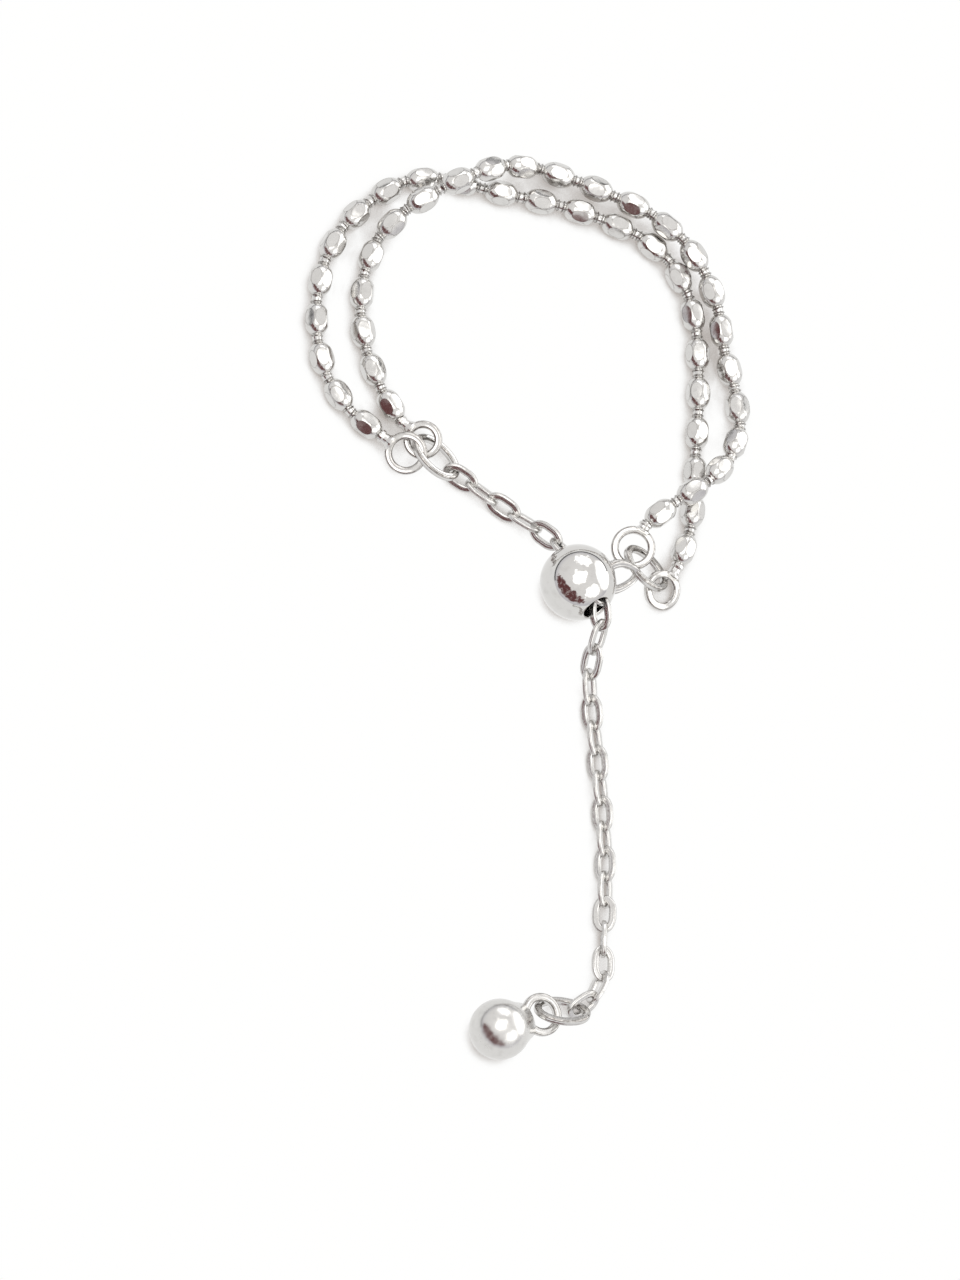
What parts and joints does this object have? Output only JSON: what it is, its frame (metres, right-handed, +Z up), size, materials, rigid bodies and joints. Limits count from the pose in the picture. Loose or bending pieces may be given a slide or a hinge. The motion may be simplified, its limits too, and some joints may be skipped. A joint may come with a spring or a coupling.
{
  "type": "adjustable chain ring",
  "caption": "Adjustable silver chain ring lying flat: two strands of cut oval beads round the finger, and a fine chain that slides through a ball to a loose tail with an end ball.",
  "frame": {"origin": "on the surface that the ring lies on, below the middle of its bounding box", "axes": "+Z up from the surface, +Y from the tail's end ball towards the far side of the finger loop, +X across the finger loop"},
  "size_m": [0.024, 0.0494, 0.004],
  "materials": {
    "cut_bead_silver": "bright cut and polished silver",
    "wire_silver": "polished silver wire with flattened sides",
    "ball_silver": "mirror polished silver"
  },
  "bodies": {
    "root": {"strand_a": "cut_bead_silver", "strand_b": "cut_bead_silver", "chain_link_01": "wire_silver", "chain_link_02": "wire_silver", "chain_link_03": "wire_silver", "chain_link_04": "wire_silver", "chain_link_05": "wire_silver", "chain_link_06": "wire_silver", "chain_link_07": "wire_silver", "chain_link_08": "wire_silver", "chain_link_09": "wire_silver", "chain_link_10": "wire_silver", "chain_link_11": "wire_silver", "chain_link_12": "wire_silver", "chain_link_13": "wire_silver", "chain_link_14": "wire_silver", "chain_link_15": "wire_silver", "chain_link_16": "wire_silver", "chain_link_17": "wire_silver", "chain_link_18": "wire_silver", "chain_link_19": "wire_silver", "chain_link_20": "wire_silver", "chain_link_21": "wire_silver", "chain_link_22": "wire_silver", "chain_link_23": "wire_silver", "chain_link_24": "wire_silver", "chain_link_25": "wire_silver", "jump_ring_left": "wire_silver", "jump_ring_right": "wire_silver", "jump_ring_end": "wire_silver", "sliding_ball": "ball_silver", "end_ball": "ball_silver"}
  },
  "joints": []
}
